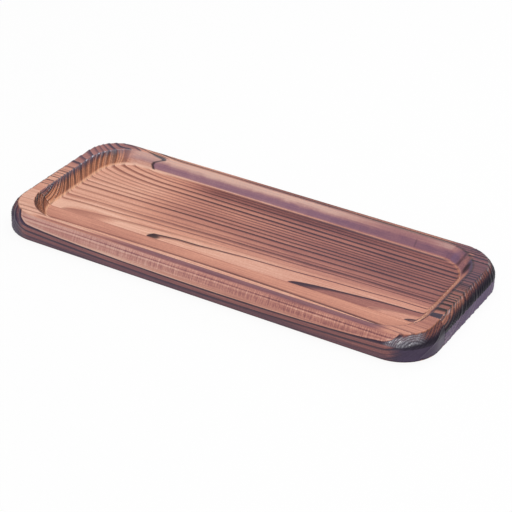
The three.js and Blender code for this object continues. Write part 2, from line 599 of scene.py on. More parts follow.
@dataclass
class TrayBlank:
    """The whole tray in one skin, as it is before the seam parts the boards. Sizes are in metres."""

    length: float
    width: float
    base: float
    top: float
    seats: Sequence[Seat]
    corner_radius: float = 31 * MM
    base_bevel: float = 0.4 * MM
    base_round: float = 0.2 * MM
    shoulder_width: float = 4.8 * MM
    shoulder_height: float = 7 * MM
    shoulder_round: float = 1.6 * MM
    shoulder_break: Span = (0.53, 0.63)
    break_round: float = 0.5 * MM
    arris_round: float = 0.6 * MM
    crown: float = 0.9 * MM
    crown_width: float = 1 * MM
    crown_share: float = 0.1
    rim_round: float = 0.9 * MM
    end_rim: float = 9.2 * MM
    side_rim: float = 5 * MM
    hollow_depth: float = 9.8 * MM
    wall_run: float = 8.8 * MM
    cove: float = 2.2 * MM
    cove_run: float = 3.52 * MM
    floor_corner_radius: float = 24 * MM
    long_cuts: int = 96
    end_cuts: int = 190
    corner_cuts: int = 64
    seat_cuts: int = 48
    row_pitch: float = 0.95 * MM
    rim_rows: int = 9
    round_turns: Sequence[float] = (0.25, 0.5, 0.75, 1)
    edge_section: float = 0.6
    sharp_angle: float = math.radians(40)
    weld: float = 1e-6
    side_facing: float = 1e-4

    @property
    def floor_height(self) -> float:
        """Height of the hollow's floor."""
        return self.top - self.hollow_depth

    @property
    def floor_half(self) -> Vector:
        """Half the length and width of the floor, to the foot of its walls."""
        inset = self.shoulder_width + self.wall_run
        return Vector((self.length / 2 - inset - self.end_rim, self.width / 2 - inset - self.side_rim))

    @property
    def corner_reach(self) -> Vector:
        """How far from the middle the centres of the rounded corners lie."""
        return Vector((self.length / 2 - self.corner_radius, self.width / 2 - self.corner_radius))

    def _soften(self, corners: Sequence[tuple[float, float, float, float]]) -> list[Triple]:
        """Rounds the corners of a section line and cuts its runs into short rows.

        Args:
            corners: place across, height, rounding and place in the section for each corner.

        Returns:
            The line's points: place across, height and place in the section.
        """
        spots = [Vector((c[0], c[1], c[3])) for c in corners]
        line = [spots[0]]
        for number in range(1, len(corners)):
            start = line[-1]
            corner = spots[number]
            reach = corners[number][2]
            last = number == len(corners) - 1
            end = corner if last else corner + (start - corner) * (reach / (start - corner).to_2d().length)
            rows = max(1, round((end - start).to_2d().length / self.row_pitch))
            line.extend(start.lerp(end, row / rows) for row in range(1, rows + 1))
            if last:
                break
            onward = spots[number + 1] - corner
            leave = corner + onward * (reach / onward.to_2d().length)
            for turn in self.round_turns:
                line.append(end.lerp(corner, turn).lerp(corner.lerp(leave, turn), turn))
        return [tuple(point) for point in line]

    def stations(self) -> list[Station]:
        """Outlines from the underside's edge, up the outside, over the rim and down to the floor.

        Returns:
            The outlines in order, without the underside's own.
        """
        arris = self.top - self.crown
        shoulder = arris - self.shoulder_height
        rim_inset = self.shoulder_width + self.crown_width
        outside = self._soften(
            [
                (self.base_bevel, self.base, 0, self.edge_section),
                (0, self.base + self.base_bevel, self.base_round, Part.UNDERSIDE.value),
                (0, shoulder, self.shoulder_round, Part.SIDE.value),
                (
                    self.shoulder_break[0] * self.shoulder_width,
                    shoulder + self.shoulder_break[1] * self.shoulder_height,
                    self.break_round,
                    Part.SIDE.value + self.shoulder_break[1],
                ),
                (self.shoulder_width, arris, self.arris_round, Part.SHOULDER.value),
                (rim_inset, self.top, 0, Part.SHOULDER.value + self.crown_share),
            ]
        )
        rim_outset = self.wall_run + self.crown_width
        hollow = self._soften(
            [
                (rim_outset, self.top, 0, Part.RIM.value - self.crown_share),
                (self.wall_run, self.top, self.rim_round, Part.RIM.value),
                (0, self.floor_height, self.cove, Part.WALL.value),
                (-self.cove_run, self.floor_height, 0, Part.FLOOR.value),
            ]
        )
        found = [Station(inset, 0, 0, height, section) for inset, height, section in outside[1:]]
        for row in range(1, self.rim_rows):
            share = row / self.rim_rows
            section = outside[-1][2] + (hollow[0][2] - outside[-1][2]) * share
            found.append(Station(rim_inset, rim_outset, share, self.top, section))
        found.extend(Station(0, outset, 1, height, section) for outset, height, section in hollow)
        return found

    def _place(self, anchor: Vector, outward: Vector, station: Station) -> Vector:
        """Finds an outline point at a station.

        Args:
            anchor: the centre that the outer outline's point turns round, with its height left at 0.
            outward: the way the outline faces there.
            station: the outline to find it on.

        Returns:
            The point.
        """
        outer = anchor + outward * (self.corner_radius - station.inset)
        reach = self.corner_reach
        inner_reach = self.floor_half - Vector((self.floor_corner_radius, self.floor_corner_radius))
        inner_anchor = Vector((anchor.x * inner_reach.x / reach.x, anchor.y * inner_reach.y / reach.y, 0))
        inner = inner_anchor + outward * (self.floor_corner_radius + station.outset)
        point = outer.lerp(inner, station.hollow)
        point.z = station.height
        return point

    def build(self) -> bmesh.types.BMesh:
        """Models the tray.

        Returns:
            A closed skin with its place in the section and its share of end grain at each point.
        """
        shape = bmesh.new()
        section = shape.verts.layers.float.new(SECTION_LAYER)
        anchors = shape.verts.layers.float_vector.new("anchor")
        outwards = shape.verts.layers.float_vector.new("outward")
        self._outline(shape)
        reach = self.corner_reach
        for vert in shape.verts:
            along = min(max(vert.co.x, -reach.x), reach.x)
            across = min(max(vert.co.y, -reach.y), reach.y)
            anchor = Vector((along, across, 0))
            vert[anchors] = anchor
            vert[outwards] = (vert.co - anchor).normalized()
            vert[section] = self.edge_section
        edges = shape.edges[:]
        first = Station(self.base_bevel, 0, 0, self.base, self.edge_section)
        for vert in shape.verts:
            vert.co = self._place(vert[anchors], vert[outwards], first)
        self._underside(shape, edges)
        for station in self.stations():
            grown = bmesh.ops.extrude_edge_only(shape, edges=edges)["geom"]
            edges = [item for item in grown if isinstance(item, bmesh.types.BMEdge)]
            for vert in (item for item in grown if isinstance(item, bmesh.types.BMVert)):
                vert.co = self._place(vert[anchors], vert[outwards], station)
                vert[section] = station.section
        self._floor(shape, edges)
        bmesh.ops.recalc_face_normals(shape, faces=shape.faces[:])
        for face in shape.faces:
            face.smooth = True
        shape.normal_update()
        for edge in shape.edges:
            edge.smooth = edge.calc_face_angle(math.pi) < self.sharp_angle
        ends = shape.verts.layers.float.new(END_GRAIN_LAYER)
        for vert in shape.verts:
            vert[ends] = abs(vert.normal.x)
        for name in ("anchor", "outward"):
            shape.verts.layers.float_vector.remove(shape.verts.layers.float_vector[name])
        return shape

    def _outline(self, shape: bmesh.types.BMesh) -> None:
        """Draws the board's rounded outline.

        Args:
            shape: the empty shape to draw it in.
        """
        bmesh.ops.create_grid(shape, x_segments=1, y_segments=1, size=0.5)
        bmesh.ops.scale(shape, vec=(self.length, self.width, 1), verts=shape.verts[:])
        bmesh.ops.bevel(
            shape,
            geom=shape.verts[:],
            offset=self.corner_radius,
            offset_type="OFFSET",
            segments=self.corner_cuts,
            profile=0.5,
            affect="VERTICES",
            material=-1,
        )
        bmesh.ops.delete(shape, geom=shape.faces[:], context="FACES_ONLY")
        straight = [edge for edge in shape.edges if edge.calc_length() > self.corner_radius / 2]
        longs = [edge for edge in straight if abs(edge.verts[0].co.y - edge.verts[1].co.y) < MM]
        ends = [edge for edge in straight if edge not in longs]
        bmesh.ops.subdivide_edges(shape, edges=longs, cuts=self.long_cuts - 1)
        bmesh.ops.subdivide_edges(shape, edges=ends, cuts=self.end_cuts - 1)

    def _floor(self, shape: bmesh.types.BMesh, outline: Sequence[bmesh.types.BMEdge]) -> None:
        """Fills the floor with rows from end to end, cut into columns that meet the outline's points.

        Args:
            shape: the shape that holds the outline.
            outline: the edges of the floor's outline.
        """
        section = shape.verts.layers.float[SECTION_LAYER]
        outwards = shape.verts.layers.float_vector["outward"]
        rails = []
        for edge in outline:
            if any(abs(vert[outwards].x) > self.side_facing for vert in edge.verts):
                rails.append(edge)
        faces = bmesh.ops.bridge_loops(shape, edges=rails)["faces"]
        sides = dict.fromkeys(edge for face in faces for edge in face.edges)
        rows = [edge for edge in sides if edge.calc_length() > self.width]
        grown = bmesh.ops.subdivide_edges(shape, edges=rows, cuts=self.long_cuts - 1, use_grid_fill=True)
        verts = [vert for vert in grown["geom_inner"] if isinstance(vert, bmesh.types.BMVert)]
        for vert in verts:
            vert[section] = Part.FLOOR.value
        border = [vert for edge in outline for vert in edge.verts]
        bmesh.ops.remove_doubles(shape, verts=list(dict.fromkeys([*verts, *border])), dist=self.weld)

    def _underside(self, shape: bmesh.types.BMesh, outline: Sequence[bmesh.types.BMEdge]) -> None:
        """Fills the flat underside round the feet's seats, and sinks the seats.

        Args:
            shape: the shape that holds the outline.
            outline: the edges of the underside's outline.
        """
        rims = []
        for x, y, radius, height in self.seats:
            place = Matrix.Translation((x, y, self.base))
            circle = bmesh.ops.create_circle(shape, radius=radius, segments=self.seat_cuts, matrix=place)
            rim = list(dict.fromkeys(edge for vert in circle["verts"] for edge in vert.link_edges))
            rims.append((rim, height))
        around = [edge for rim, _ in rims for edge in rim]
        bmesh.ops.triangle_fill(shape, use_beauty=True, edges=[*outline, *around], normal=(0, 0, -1))
        for rim, height in rims:
            grown = bmesh.ops.extrude_edge_only(shape, edges=rim)["geom"]
            for vert in (item for item in grown if isinstance(item, bmesh.types.BMVert)):
                vert.co.z = height
            lip = [item for item in grown if isinstance(item, bmesh.types.BMEdge)]
            bmesh.ops.edgeloop_fill(shape, edges=lip)


@dataclass(frozen=True)
class Brushing:
    """How high a wire brush leaves the late wood above the early wood, in metres."""

    floor: float = 0.10 * MM
    side: float = 0.16 * MM
    rims: float = 0.40 * MM
    ends: float = 0.75 * MM
    proud: float = 0.6
    pale_lines: float = 0.6
    rim_reach: Span = (148, 160)

    def relief(self, wood: Wood, section: np.ndarray, ends: np.ndarray, reach: np.ndarray) -> np.ndarray:
        """How far each point stands out of the smooth board.

        Args:
            wood: the wood at each point.
            section: place in the tray's section.
            ends: share of end grain.
            reach: distance from the middle of the tray along it, in millimetres.

        Returns:
            The distance along the normal, and nothing on the underside.
        """
        sums = ArrayMaths()
        outside = sums.ease(Part.WALL.value, Part.RIM.value, section)
        depth = blend(self.floor, self.side, outside)
        depth = blend(depth, self.rims, sums.ease(*self.rim_reach, reach) * outside)
        depth = blend(depth, self.ends, sums.ease(0.05, 0.7, ends))
        late = wood.late * blend(wood.dark, 1, self.pale_lines * sums.ease(0.05, 0.5, ends))
        return depth * (np.sqrt(late) - 1 + self.proud) * sums.ease(0.7, 1.2, section)


@dataclass(frozen=True)
class Shade:
    """A change of tone, all over or coming in softly over a span along the tray, across it or both."""

    amount: float
    x: Span | None = None
    y: Span | None = None


@dataclass(frozen=True)
class Oval:
    """A soft oval, seen from above: its middle, and how far it reaches along the tray and across it."""

    centre: Span
    reach: Span


class Surface:
    """What the mesh tells the paint about a point: its place in millimetres, its faces and its wood."""

    def __init__(self, paint: Paint, grain: Grain, base: float) -> None:
        """Reads the mesh's layers.

        Args:
            paint: the paint that needs them.
            grain: the board's growth rings.
            base: the height of the board's underside, in metres.
        """
        self.ease = paint.ease
        self.place, self.x, self.y, z = paint.place_mm(SMOOTH_LAYER)
        self.height = z - base / MM
        self.wood = grain.wood(paint, self.x, self.y, self.height)
        self.drift = paint.noise(self.place, (9, 4, 4), 4, (5, 2, 8)) - 0.5
        self.ends = self.ease(0.12, 0.6, paint.layer(END_GRAIN_LAYER))
        self.sides = 1 - self.ends
        self.section = paint.layer(SECTION_LAYER)
        self.top_down = self.section - Part.RIM.value
        past_underside = self._past(Part.UNDERSIDE, -0.4, -0.1)
        past_side = self._past(Part.SIDE, -0.1, 0.15)
        past_shoulder = self._past(Part.SHOULDER, -0.05, 0.1)
        past_rim = self._past(Part.RIM, -0.05, 0.1)
        self.underside = 1 - past_underside
        self.side = past_underside - past_side
        self.shoulder = past_side - past_shoulder
        self.outside = self.side + self.shoulder
        self.rim = past_shoulder - past_rim
        self.floor = self._past(Part.WALL, -0.1, 0)
        self.wall = past_rim - self.floor
        self.arris = self._past(Part.RIM, -0.2, 0) * self._past(Part.RIM, 0.45, 0.05)
        self.foot = self._past(Part.WALL, -0.22, -0.05) * self._past(Part.WALL, 0.35, 0)

    def _past(self, part: Part, start: float, end: float) -> Value:
        """A smooth step from 0 to 1 near the end of a part of the section."""
        return self.ease(part.value + start, part.value + end, self.section)

    def band(self, value: Value, low: float, high: float, soft: float) -> Value:
        """1 where a value lies between two others, with soft edges."""
        return self.ease(low - soft, low + soft, value) * self.ease(high + soft, high - soft, value)

    def spot(self, oval: Oval) -> Value:
        """Paints an oval.

        Args:
            oval: the oval.

        Returns:
            1 in its middle, down to 0 at its edge.
        """
        along = (self.x - oval.centre[0]) / oval.reach[0]
        across = (self.y - oval.centre[1]) / oval.reach[1]
        return self.ease(1, 0.1, along * along + across * across)

    def tone(self, shades: Sequence[Shade]) -> Value:
        """Adds up changes of tone.

        Args:
            shades: the changes, at least one of them with a span.

        Returns:
            Their sum at the point.
        """
        total: Value | float = 0
        for shade in shades:
            part: Value | float = shade.amount
            if shade.x:
                part = self.ease(*shade.x, self.x) * part
            if shade.y:
                part = self.ease(*shade.y, self.y) * part
            total = part + total
        return total


@dataclass(frozen=True)
class CharredCedar:
    """Cedar scorched with a flame, brushed and finished in clear gloss lacquer."""

    name: str
    grain: Grain
    base: float
    pale: Stops = (
        (0, (246, 198, 174)),
        (0.2, (218, 154, 131)),
        (0.4, (180, 118, 104)),
        (0.6, (134, 82, 77)),
        (0.8, (88, 57, 63)),
        (1, (46, 34, 46)),
    )
    ochre: Stops = (
        (0, (226, 164, 128)),
        (0.25, (192, 126, 94)),
        (0.5, (150, 90, 66)),
        (0.75, (86, 50, 44)),
        (1, (30, 21, 27)),
    )
    char: Colour = (58, 40, 50)
    brown_char: Colour = (146, 92, 79)
    end_char: Colour = (26, 17, 24)
    # Violet-grey: on the sides and the front shoulder it is a painted sheen, the lacquer's reflection of the
    # surround.
    violet_grey: Colour = (121, 102, 140)
    black: Colour = (26, 21, 34)
    # The pale grey that paints highlights and sheen on the lacquer.
    dust_and_highlight: Colour = (214, 210, 222)
    fibre_tone: float = 0.40
    cloud_tone: float = 0.16
    speck_tone: float = 0.26
    wall_chatter: float = 0.13
    shoulder_chatter: float = 0.57
    foot_light: float = 0.22
    underside_tone: float = 0.2
    roughness: float = 0.45
    specular: float = 0.2
    coat: float = 0.3
    coat_roughness: float = 0.14
    bump_depth: float = 0.12 * MM
    bump_strength: float = 0.5

    @cached_property
    def paint(self) -> Paint:
        """The material's nodes."""
        return Paint(self.name)

    @cached_property
    def at(self) -> Surface:
        """The point that is painted."""
        return Surface(self.paint, self.grain, self.base)

    def scorch(self) -> Value:
        """How far the flame has browned the pale wood."""
        raise NotImplementedError

    def cool(self) -> Value:
        """How far violet-grey covers the wood; on the sides it is a painted sheen."""
        raise NotImplementedError

    def marks(self) -> Value:
        """The black marks."""
        raise NotImplementedError

    def calm(self) -> Value:
        """How far the rings' lines are sanded away."""
        raise NotImplementedError

    def bold(self) -> Value:
        """How far even the pale rings show as dark lines."""
        raise NotImplementedError

    def gloss(self) -> Value:
        """How thick the lacquer lies."""
        raise NotImplementedError

    def painted_highlight(self) -> Value:
        """How far painted highlights, pale grey where lamps reflect in the lacquer, cover the wood."""
        raise NotImplementedError

    def right_end(self) -> Value:
        """1 on the right end, from the scorched band's lower edge up."""
        at = self.at
        return at.ends * at.ease(140, 165, at.x) * at.outside * at.ease(9.7, 10.5, at.height)

    def _burnt(self, bold: Value, fibre: Value, left: Value) -> Value:
        """How dark the rings' lines are.

        Args:
            bold: how far even the pale rings show.
            fibre: the noise of the wood's fibres.
            left: 1 at the left end, down to 0 at the middle.

        Returns:
            The lines, from 0 to 1.
        """
        at = self.at
        wood = at.wood
        strands = self.paint.larger(self.paint.sine(wood.radius * 7) - 0.2, 0) * at.ends
        burnt = wood.late * blend(wood.dark, 1, bold) + strands * 0.35
        strength = 1.6 + left * (1.4 - at.floor * 0.8) + fibre * 1.1 + bold * 0.8 + at.arris * at.ends
        burnt = self.paint.smaller(burnt * strength, 1)
        faded = at.ease(0.2, 0.85, at.top_down) * 0.34 + at.ease(0, 30, at.y) * 0.15
        burnt = burnt * (1 - at.wall * at.ends * left * faded)
        return burnt * (1 - self.calm()) * (1 - at.foot * 0.7)

    def material(self) -> bpy.types.Material:
        """Builds the finish.

        Returns:
            The finished material.
        """
        paint = self.paint
        at = self.at
        late = at.wood.late
        fibre = paint.noise(at.place, (45, 0.9, 0.9), 3) - 0.5
        cloud = paint.noise(at.place, (70, 16, 16), 2, (4, 1, 7)) - 0.5
        speck = paint.noise(at.place, (1.2, 0.5, 0.5), 2, (9, 3, 2)) - 0.5
        planed = (at.wall + at.shoulder * at.ease(-170, -60, at.x)) * at.sides
        chatter = (paint.noise(at.place, (0.7, 7, 7), 2, (1, 6, 3)) - 0.5) * planed
        tone = self.scorch() + at.wood.brown - at.foot * self.foot_light
        tone = tone + fibre * self.fibre_tone + cloud * self.cloud_tone + speck * self.speck_tone
        tone = tone + chatter * (self.wall_chatter + at.shoulder * self.shoulder_chatter)
        bold = self.bold()
        left = at.ease(-50, -130, at.x)
        burnt = self._burnt(bold, fibre, left)
        end_char = linear(self.end_char)
        char = paint.mix(left * at.floor, linear(self.char), linear(self.brown_char))
        char = paint.mix(paint.smaller(bold, 1), char, end_char)
        long_grain = paint.mix(burnt * 0.92, paint.ramp(tone + burnt * 0.3, self.pale), char)
        lit = at.shoulder * at.ease(15.5, 17.5, at.height) * 0.4 + at.wall * 0.25
        end_grain = paint.mix(burnt * (1 - lit), paint.ramp(tone + burnt * 0.2, self.ochre), end_char)
        right_wall = at.wall * at.ease(110, 140, at.x)
        colour = paint.mix(at.ends * (1 - right_wall * 0.95), long_grain, end_grain)
        # Violet-grey: a painted sheen on the sides and the front shoulder, and violet-grey on the walls and
        # rims.
        colour = paint.mix(self.cool(), colour, linear(self.violet_grey))
        colour = paint.mix(self.marks(), colour, linear(self.black))
        # Painted highlights and sheen: pale grey where lamps reflect in the lacquer.
        colour = paint.mix(self.painted_highlight() * (0.6 + fibre + speck * 2), colour, linear(self.dust_and_highlight))
        height = late * 0.4 + fibre * 0.5 + speck * 0.5
        return paint.finish(
            {
                "Base Color": colour,
                "Roughness": self.roughness + late * 0.10 - at.ends * 0.08 + fibre * 0.15,
                "Specular IOR Level": self.specular,
                "Coat Weight": self.gloss(),
                "Coat Roughness": self.coat_roughness,
                "Normal": paint.bump(height, self.bump_depth, self.bump_strength),
            }
        )


@dataclass(frozen=True)
class BackCedar(CharredCedar):
    """The wide board's finish: pale at the front left, browner to the back and the right."""

    hook: Points = (
        (0.14, -115),
        (0.26, -117.5),
        (0.38, -120.9),
        (0.48, -123.4),
        (0.65, -124.2),
        (0.81, -122.7),
        (0.95, -121.5),
    )
    lip: Points = (
        (-149, -0.95),
        (-143, -0.8),
        (-137.4, -0.5),
        (-131.6, -0.15),
        (-125.3, 0.02),
        (-115, 0.14),
    )
    blotch: Oval = Oval((-122, -30.5), (27, 8))
    tongue_tip: Oval = Oval((-63.5, -32.6), (6.5, 4.2))
    swirl_heart: Oval = Oval((156.4, 56), (4.2, 6.5))
    violet_patch: Oval = Oval((145, 56.5), (5, 5.5))
    knot: Oval = Oval((159.2, 44.8), (3.6, 6))
    floor_tone: Sequence[Shade] = (
        Shade(0.005),
        Shade(0.1, y=(-30, 5)),
        Shade(0.035, x=(-120, -60)),
        Shade(0.04, x=(-120, -45)),
        Shade(0.14, x=(-120, -45), y=(-25, 15)),
        Shade(0.03, x=(-20, 110)),
        Shade(0.12, x=(-20, 110), y=(-15, 20)),
        Shade(0.2, x=(-95, -50), y=(42, 49)),
        Shade(-0.24, x=(20, 130), y=(42, 49)),
    )
    upper_wall_tone: Sequence[Shade] = (Shade(0.28, x=(20, 100)), Shade(-0.22, x=(115, 140)))
    lower_wall_tone: Sequence[Shade] = (
        Shade(0.2),
        Shade(0.17, x=(-90, 60)),
        Shade(0.11, x=(30, 80)),
    )
    end_wall_tone: Sequence[Shade] = (
        Shade(0.22),
        Shade(-0.1, x=(120, 150)),
        Shade(0.3, x=(120, 150), y=(30, 44)),
    )
    long_rim_tone: Sequence[Shade] = (
        Shade(0.12),
        Shade(0.36, x=(-90, 20)),
        Shade(-0.16, x=(25, 75)),
    )
    left_rim_tone: Sequence[Shade] = (
        Shade(0.1),
        Shade(0.32, y=(-5, 32)),
        Shade(0.12, y=(-16, -28)),
    )
    shoulder_tone: Sequence[Shade] = (Shade(0.3), Shade(0.2, y=(-10, 40)))
    upper_wall_violet: Sequence[Shade] = (Shade(0.06), Shade(0.34, x=(20, 100)))
    lower_wall_violet: Sequence[Shade] = (Shade(0.64), Shade(-0.14, x=(30, 90)))
    scoop_tone: float = 0.06
    # The sides are painted dark: partly their char, partly painted shade on faces turned from the overhead
    # light.
    side_tone: float = 0.7
    foot_violet: float = 0.1

    def past_hook(self) -> Value:
        """How far a point lies to the right of the hooked edge near the left end of the back wall."""
        return self.at.x - self.paint.along(self.at.top_down, self.hook)

    def scoop(self) -> Value:
        """1 on the smooth scoop left of the hooked edge, and 0 right of it."""
        return self.at.ease(0.8, -0.8, self.past_hook())

    def swirl(self) -> Value:
        """1 on the pale heart of the swirl in the back right corner."""
        return self.at.spot(self.swirl_heart) * (self.at.rim + self.at.wall)

    def lower_wall_share(self) -> Value:
        """1 on the darker, violet lower part of the walls, and 0 above it."""
        return self.at.ease(0.2, 0.58, self.at.top_down + self.at.drift * 0.22)

    def scorch(self) -> Value:
        """How far the flame has browned the pale wood.

        Returns:
            The tone, from 0 for pale wood to 1 for black.
        """
        at = self.at
        x = at.x
        y = at.y
        blotch = at.spot(self.blotch) * 0.14
        streak = at.band(y - x * 0.106, -16.2, -13.2, 1.6) * at.band(x, -118, -50, 16) * 0.08
        floor = at.tone(self.floor_tone) + blotch + streak
        lower_wall = at.tone(self.lower_wall_tone) + at.drift * 0.3
        back_wall = blend(at.tone(self.upper_wall_tone), lower_wall, self.lower_wall_share())
        back_wall = blend(back_wall, self.scoop_tone, self.scoop())
        stripe = at.band(x, 150.3, 153.5, 0.8) * at.ease(46, 52, y) * 0.14
        wall = blend(back_wall, at.tone(self.end_wall_tone) - stripe, at.ends)
        outer_edge = at.band(at.top_down, -1.1, -0.85, 0.08) * at.ease(25, 75, x) * 0.25
        long_rim = at.tone(self.long_rim_tone) + outer_edge
        right_rim = 0.54 + at.band(y, 24, 50, 3) * 0.1 - at.band(y, -30, -22, 1.5) * 0.14
        end_rim = blend(at.tone(self.left_rim_tone), right_rim, at.ease(-60, 60, x))
        rim = blend(long_rim, end_rim, at.ease(130, 150, abs(x)))
        low_shoulder = at.ease(18, 14, at.height + at.ease(-10, -30, y))
        shoulder = at.tone(self.shoulder_tone) + low_shoulder * 0.38
        tone = at.floor * floor + at.wall * wall + at.rim * rim + at.shoulder * shoulder
        # Sides darker: their char and painted shade.
        tone = tone + at.side * self.side_tone + at.underside * self.underside_tone + at.arris * at.ends * 0.4
        return tone * (1 - self.swirl() * 0.42)

    def cool(self) -> Value:
        """How far violet-grey covers the wood: a painted sheen on the sides, and violet-grey on the walls and
        rims.

        Returns:
            The share of the stain.
        """
        at = self.at
        scoop = 0.16 + at.band(at.top_down, 0.36, 0.6, 0.12) * 0.3
        back_wall = blend(at.tone(self.upper_wall_violet), at.tone(self.lower_wall_violet), self.lower_wall_share())
        back_wall = blend(back_wall, scoop, self.scoop())
        back_wall = blend(back_wall, self.foot_violet, at.foot)
        end_wall = at.ease(120, 150, at.x) * at.ease(30, 44, at.y) * 0.3
        patch = at.spot(self.violet_patch) * 0.25
        wall = at.sides * back_wall + at.ends * end_wall + patch
        step = at.band(at.y, -36, -29, 0.8) * at.ease(140, 150, at.x) * 0.14
        rim = step + at.ease(0, 30, at.y) * at.ease(130, 150, abs(at.x)) * 0.17
        floor = at.ease(-60, 60, at.x) * 0.06
        # On the sides the violet-grey is a painted sheen that stands in for the lacquer's reflection.
        stain = at.wall * wall + at.rim * rim + at.floor * floor + at.side * (0.3 + at.ends * 0.3)
        stain = stain + at.ends * (at.shoulder * 0.12 + at.arris * 0.2)
        return stain * (1 - self.swirl() * 0.5)

    def marks(self) -> Value:
        """The black marks: the right end's band, the hook, the tongue's tip and the lines of the back wall.

        Returns:
            The share of black.
        """
        at = self.at
        x = at.x
        raised = at.height + at.ease(-10, -30, at.y) * 1.2
        band = self.right_end() * at.ease(19, 13, raised)
        top = at.wall + at.rim
        hook = at.ease(2.2, 0.4, abs(self.past_hook())) * at.wall * at.ease(0.08, 0.16, at.top_down)
        lip = at.ease(0.14, 0.03, abs(at.top_down - self.paint.along(x, self.lip))) * top
        lip = lip * at.band(x, -148, -114.5, 1.5)
        tip = at.spot(self.tongue_tip) * at.floor
        back_line = at.band(at.top_down, -0.14, 0.04, 0.05) * at.sides * at.ease(35, 85, x) * top
        crack = at.ease(0.9, 0.3, abs(x - 110.7)) * at.band(at.top_down, 0.35, 0.8, 0.12) * at.wall
        knot = at.spot(self.knot) * at.wall
        arc = at.ease(1.8, 0.2, abs(x + at.top_down * 5 - 153)) * at.ease(48, 53, at.y) * at.wall
        rings = (at.band(at.y, 50.8, 52, 0.5) + at.band(at.y, 59.8, 60.9, 0.4)) * at.rim
        rings = rings * at.ease(148, 155, x)
        left = hook * 0.85 + lip * 0.95 + tip * 0.85
        right = back_line * 0.55 + crack * 0.3 + knot * 0.85 + arc * 0.5 + rings * 0.6
        return band + left + right

    def calm(self) -> Value:
        """How far the rings' lines are sanded away: on the back wall and in the right corner.

        Returns:
            The share of the lines that is gone.
        """
        at = self.at
        right_wall = at.wall * at.ends * at.ease(110, 140, at.x)
        corner = at.rim * at.ease(145, 155, at.x) * at.band(at.y, 38, 50.5, 1)
        return at.wall * at.sides + right_wall * 0.9 + corner * 0.8

    def bold(self) -> Value:
        """How far even the pale rings show as dark lines."""
        return self.at.ends * 0.45 + self.at.rim * self.at.ease(150, 158, self.at.x) * 0.75

    def gloss(self) -> Value:
        """How thick the lacquer lies: thick on the arrises, thin on the end grain.

        Returns:
            The coat's weight.
        """
        at = self.at
        outer_arris = at.band(at.top_down, -1.1, -0.9, 0.05)
        return self.coat + at.rim * 0.3 + (at.arris + outer_arris) * 0.6 - at.ends * at.outside * 0.15

    def painted_highlight(self) -> Value:
        """Painted highlights: pale grey beads on the end rims' arrises, and a painted sheen on the upper back
        wall towards the left.

        Returns:
            The share of the painted highlights.
        """
        at = self.at
        # Painted highlights: pale grey beads on the arrises, and a painted sheen on the upper back wall
        # towards the left.
        outer_arris = at.band(at.top_down, -1.12, -0.95, 0.04) * at.ease(160, 168, at.x)
        left_arris = at.band(at.top_down, -0.04, 0.07, 0.03) * at.ease(-140, -150, at.x)
        left_arris = left_arris * at.band(at.y, 22, 50, 6)
        beads = at.ease(0.55, 0.8, self.paint.sine(at.wood.radius * 2.6))
        film = at.wall * at.sides * (1 - self.lower_wall_share()) * at.ease(100, 20, at.x)
        return (outer_arris * 0.45 + left_arris) * beads + film * 0.3


